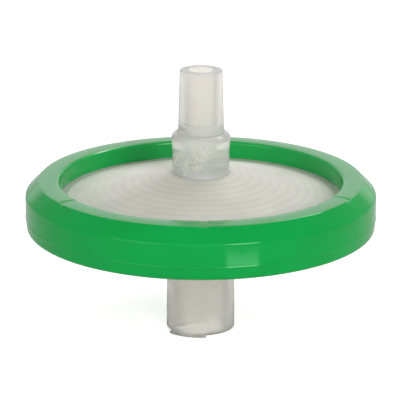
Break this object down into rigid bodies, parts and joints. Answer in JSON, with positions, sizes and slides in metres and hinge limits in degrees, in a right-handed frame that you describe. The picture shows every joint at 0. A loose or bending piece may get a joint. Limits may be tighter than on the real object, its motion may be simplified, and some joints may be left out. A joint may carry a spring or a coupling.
{
  "type": "syringe filter",
  "caption": "Disc syringe filter: translucent split housing, green moulded grip ring, female luer lock inlet below and male luer slip outlet above.",
  "frame": {"origin": "on the flow axis, in the plane of the inlet mouth on which the filter stands", "axes": "+Z along the flow axis from the inlet socket up to the outlet tip; +X and +Y across the disc, with one lock lug of the inlet towards -Y"},
  "size_m": [0.033, 0.033, 0.025],
  "materials": {
    "housing_plastic": "natural translucent polypropylene, glossy as moulded",
    "membrane_film": "matte white porous film",
    "ring_plastic": "bright green polypropylene, smooth and glossy as moulded"
  },
  "bodies": {
    "root": {"inlet_housing": "housing_plastic", "outlet_housing": "housing_plastic", "membrane": "membrane_film", "moulded_ring": "ring_plastic"}
  },
  "joints": []
}
